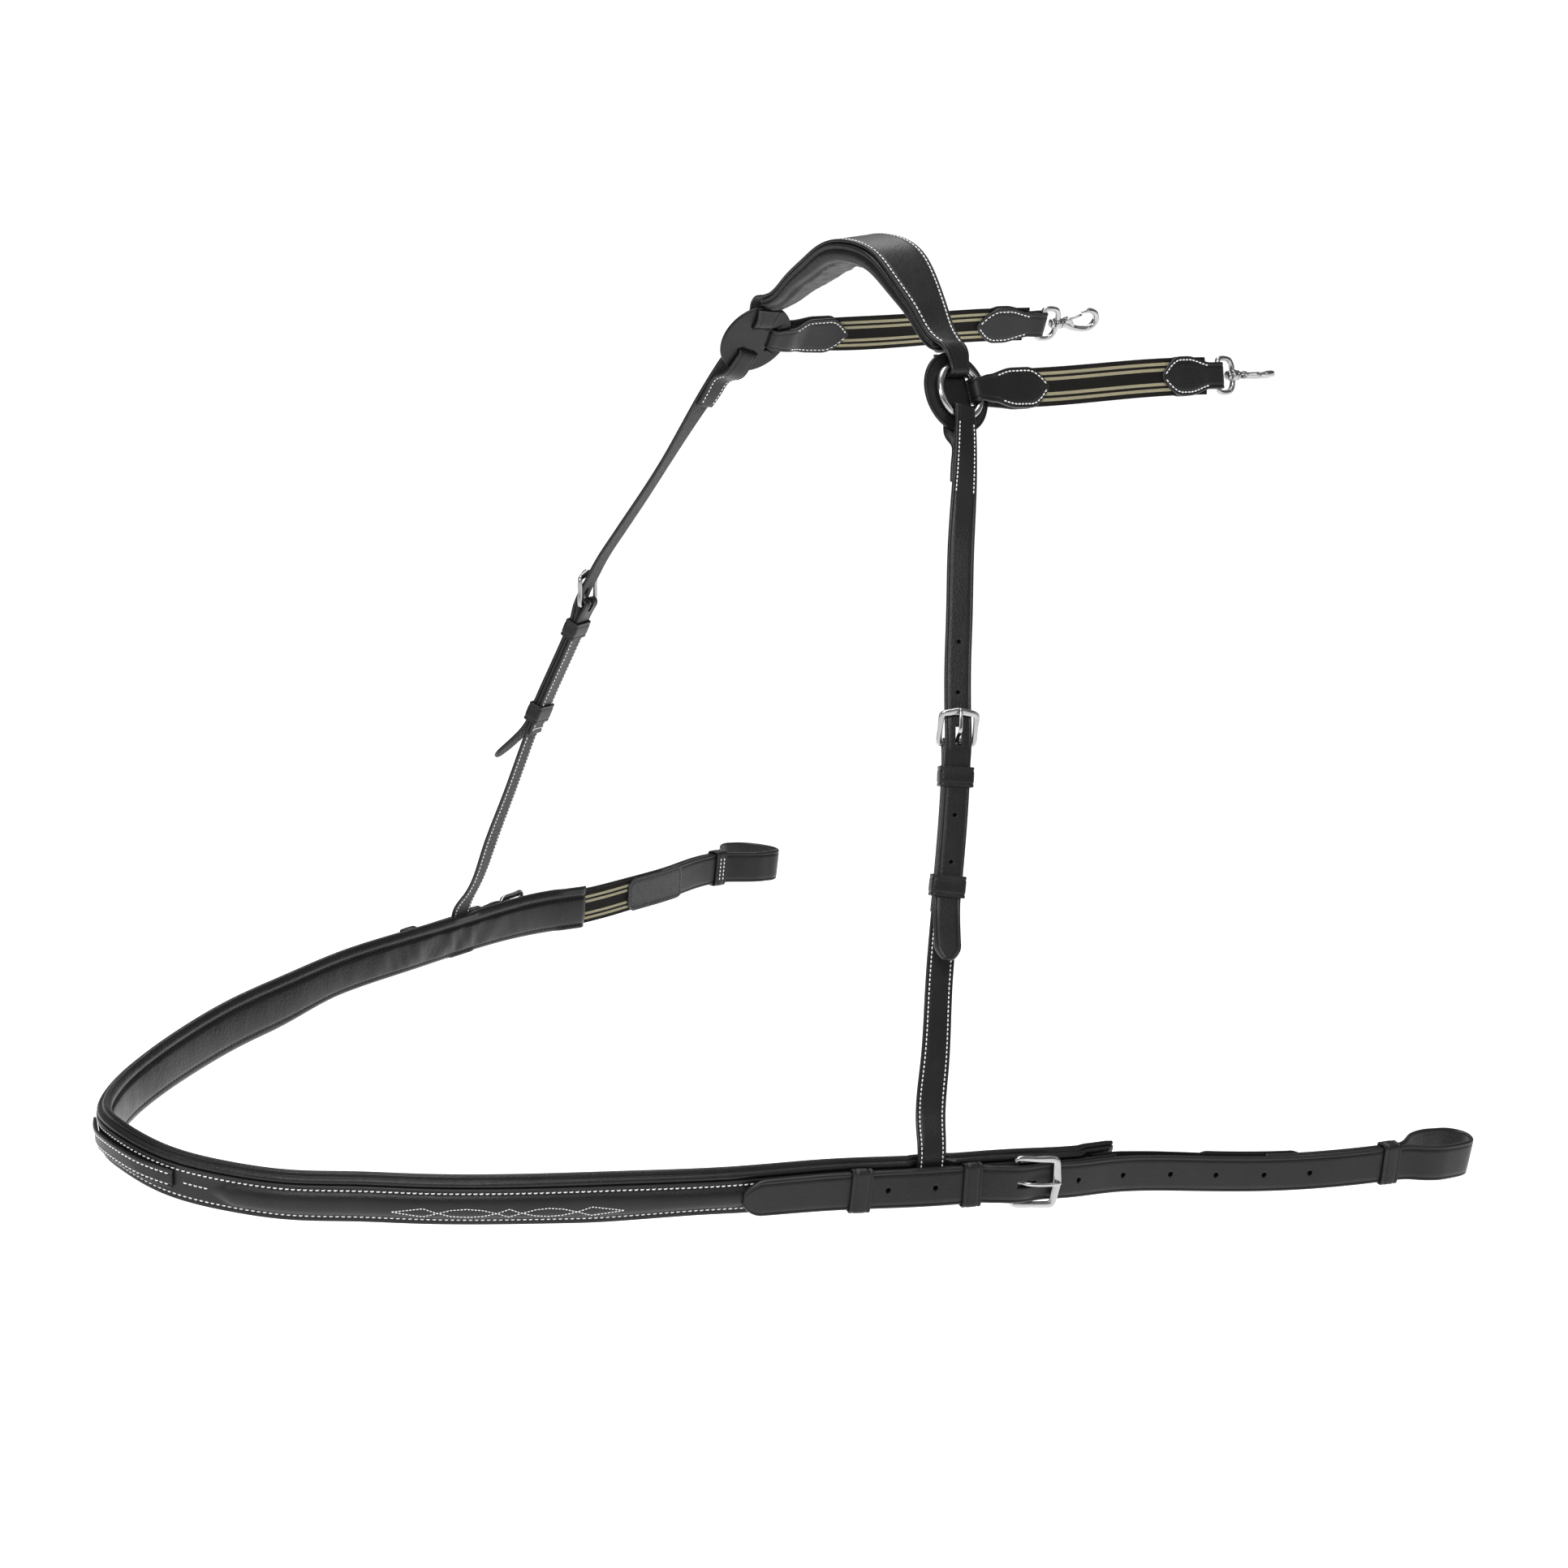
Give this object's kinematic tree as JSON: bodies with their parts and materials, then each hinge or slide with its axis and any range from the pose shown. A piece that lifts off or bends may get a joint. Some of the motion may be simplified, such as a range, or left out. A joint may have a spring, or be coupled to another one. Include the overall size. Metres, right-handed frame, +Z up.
{
  "type": "horse breastplate",
  "caption": "Padded black leather breast collar for a horse, with neck straps, a wither bridge, steel rings, elastic saddle straps with swivel snaps, and buckled girth billets.",
  "frame": {"origin": "underside of the wither bridge's padding at its crest, on the symmetry plane", "axes": "+Z up as worn, +Y towards the horse's tail and the saddle, -Y towards the chest, +X the horse's left"},
  "size_m": [0.8025, 0.8918, 0.6166],
  "materials": {
    "black_leather": "smooth black bridle leather with white stitching, satin",
    "padded_lining": "soft padded black leather, matte satin",
    "elastic_webbing": "ribbed black elastic webbing with four pale lengthwise stripes, matte",
    "polished_steel": "polished stainless steel"
  },
  "bodies": {
    "harness": {"breast_band_outer": "black_leather", "breast_band_lining": "padded_lining", "front_loop_strap": "black_leather", "wither_pad_outer": "black_leather", "wither_pad_lining": "padded_lining", "band_buckle_frame_l": "polished_steel", "band_buckle_chape_l": "black_leather", "band_keeper_front_l": "black_leather", "band_keeper_rear_l": "black_leather", "girth_billet_l": "black_leather", "girth_loop_keeper_l": "black_leather", "band_elastic_l": "elastic_webbing", "elastic_tab_l": "black_leather", "neck_strap_lower_l": "black_leather", "neck_buckle_frame_l": "polished_steel", "neck_keeper_upper_l": "black_leather", "neck_keeper_lower_l": "black_leather", "neck_billet_l": "black_leather", "ring_guard_l": "black_leather", "band_buckle_frame_r": "polished_steel", "band_buckle_chape_r": "black_leather", "band_keeper_front_r": "black_leather", "band_keeper_rear_r": "black_leather", "girth_billet_r": "black_leather", "girth_loop_keeper_r": "black_leather", "band_elastic_r": "elastic_webbing", "elastic_tab_r": "black_leather", "neck_strap_lower_r": "black_leather", "neck_buckle_frame_r": "polished_steel", "neck_keeper_upper_r": "black_leather", "neck_keeper_lower_r": "black_leather", "neck_billet_r": "black_leather", "ring_guard_r": "black_leather"},
    "steel_ring_l": {"ring_l": "polished_steel"},
    "saddle_strap_l": {"saddle_tab_front_l": "black_leather", "saddle_elastic_l": "elastic_webbing"},
    "saddle_strap_end_l": {"saddle_tab_rear_l": "black_leather"},
    "snap_eye_body_l": {"snap_eye_l": "polished_steel"},
    "snap_hook_body_l": {"snap_hook_l": "polished_steel"},
    "snap_gate_body_l": {"snap_gate_l": "polished_steel"},
    "band_tongue_l": {"band_buckle_tongue_l": "polished_steel"},
    "neck_tongue_l": {"neck_buckle_tongue_l": "polished_steel"},
    "steel_ring_r": {"ring_r": "polished_steel"},
    "saddle_strap_r": {"saddle_tab_front_r": "black_leather", "saddle_elastic_r": "elastic_webbing"},
    "saddle_strap_end_r": {"saddle_tab_rear_r": "black_leather"},
    "snap_eye_body_r": {"snap_eye_r": "polished_steel"},
    "snap_hook_body_r": {"snap_hook_r": "polished_steel"},
    "snap_gate_body_r": {"snap_gate_r": "polished_steel"},
    "band_tongue_r": {"band_buckle_tongue_r": "polished_steel"},
    "neck_tongue_r": {"neck_buckle_tongue_r": "polished_steel"}
  },
  "joints": [
    {"name": "ring_spin_l", "type": "hinge", "parent": "harness", "child": "steel_ring_l", "pos_m": [0.112, -0.016, -0.0652], "axis": [0.8921, 0.1095, 0.4384], "continuous": true},
    {"name": "saddle_strap_turn_l", "type": "hinge", "parent": "harness", "child": "saddle_strap_l", "pos_m": [0.112, -0.016, -0.0652], "axis": [0.8921, 0.1095, 0.4384], "range_deg": [-6, 6]},
    {"name": "elastic_stretch_l", "type": "slide", "parent": "saddle_strap_l", "child": "saddle_strap_end_l", "axis": [-0.0638, 0.9905, -0.1218], "range_m": [0, 0.04], "stiffness_N_per_m": 600, "deforming": ["saddle_elastic_l"]},
    {"name": "snap_eye_hinge_l", "type": "hinge", "parent": "saddle_strap_end_l", "child": "snap_eye_body_l", "pos_m": [0.09401, 0.23583, -0.09218], "axis": [-0.2599, 0.1128, 0.959], "range_deg": [-60, 60]},
    {"name": "snap_swivel_l", "type": "hinge", "parent": "snap_eye_body_l", "child": "snap_hook_body_l", "pos_m": [0.09401, 0.23583, -0.09218], "axis": [-0.0762, 0.9877, -0.1368], "continuous": true},
    {"name": "snap_gate_hinge_l", "type": "hinge", "parent": "snap_hook_body_l", "child": "snap_gate_body_l", "pos_m": [0.09498, 0.25985, -0.09474], "axis": [-0.2599, 0.1128, 0.959], "range_deg": [0, 28], "stiffness_Nm_per_rad": 0.02, "springref_deg": -8.59},
    {"name": "band_tongue_hinge_l", "type": "hinge", "parent": "harness", "child": "band_tongue_l", "pos_m": [0.29743, -0.11869, -0.53368], "axis": [0.0058, -0.131, -0.9914], "range_deg": [0, 15]},
    {"name": "neck_tongue_hinge_l", "type": "hinge", "parent": "harness", "child": "neck_tongue_l", "pos_m": [0.20599, -0.09545, -0.26735], "axis": [0.4501, 0.888, -0.094], "range_deg": [0, 15]},
    {"name": "ring_spin_r", "type": "hinge", "parent": "harness", "child": "steel_ring_r", "pos_m": [-0.112, -0.016, -0.0652], "axis": [-0.8921, 0.1095, 0.4384], "continuous": true},
    {"name": "saddle_strap_turn_r", "type": "hinge", "parent": "harness", "child": "saddle_strap_r", "pos_m": [-0.112, -0.016, -0.0652], "axis": [-0.8921, 0.1095, 0.4384], "range_deg": [-6, 6]},
    {"name": "elastic_stretch_r", "type": "slide", "parent": "saddle_strap_r", "child": "saddle_strap_end_r", "axis": [0.0643, 0.9939, -0.09], "range_m": [0, 0.04], "stiffness_N_per_m": 600, "deforming": ["saddle_elastic_r"]},
    {"name": "snap_eye_hinge_r", "type": "hinge", "parent": "saddle_strap_end_r", "child": "snap_eye_body_r", "pos_m": [-0.09397, 0.23637, -0.08624], "axis": [0.2563, 0.0777, 0.9635], "range_deg": [-60, 60]},
    {"name": "snap_swivel_r", "type": "hinge", "parent": "snap_eye_body_r", "child": "snap_hook_body_r", "pos_m": [-0.09397, 0.23637, -0.08624], "axis": [0.0765, 0.992, -0.1004], "continuous": true},
    {"name": "snap_gate_hinge_r", "type": "hinge", "parent": "snap_hook_body_r", "child": "snap_gate_body_r", "pos_m": [-0.09139, 0.2604, -0.08585], "axis": [-0.9636, 0.0995, 0.2483], "range_deg": [0, 28], "stiffness_Nm_per_rad": 0.02, "springref_deg": -8.59},
    {"name": "band_tongue_hinge_r", "type": "hinge", "parent": "harness", "child": "band_tongue_r", "pos_m": [-0.29748, -0.11849, -0.53371], "axis": [0.0055, 0.1305, 0.9914], "range_deg": [0, 15]},
    {"name": "neck_tongue_hinge_r", "type": "hinge", "parent": "harness", "child": "neck_tongue_r", "pos_m": [-0.20599, -0.09545, -0.26735], "axis": [0.4501, -0.888, 0.094], "range_deg": [0, 15]}
  ]
}
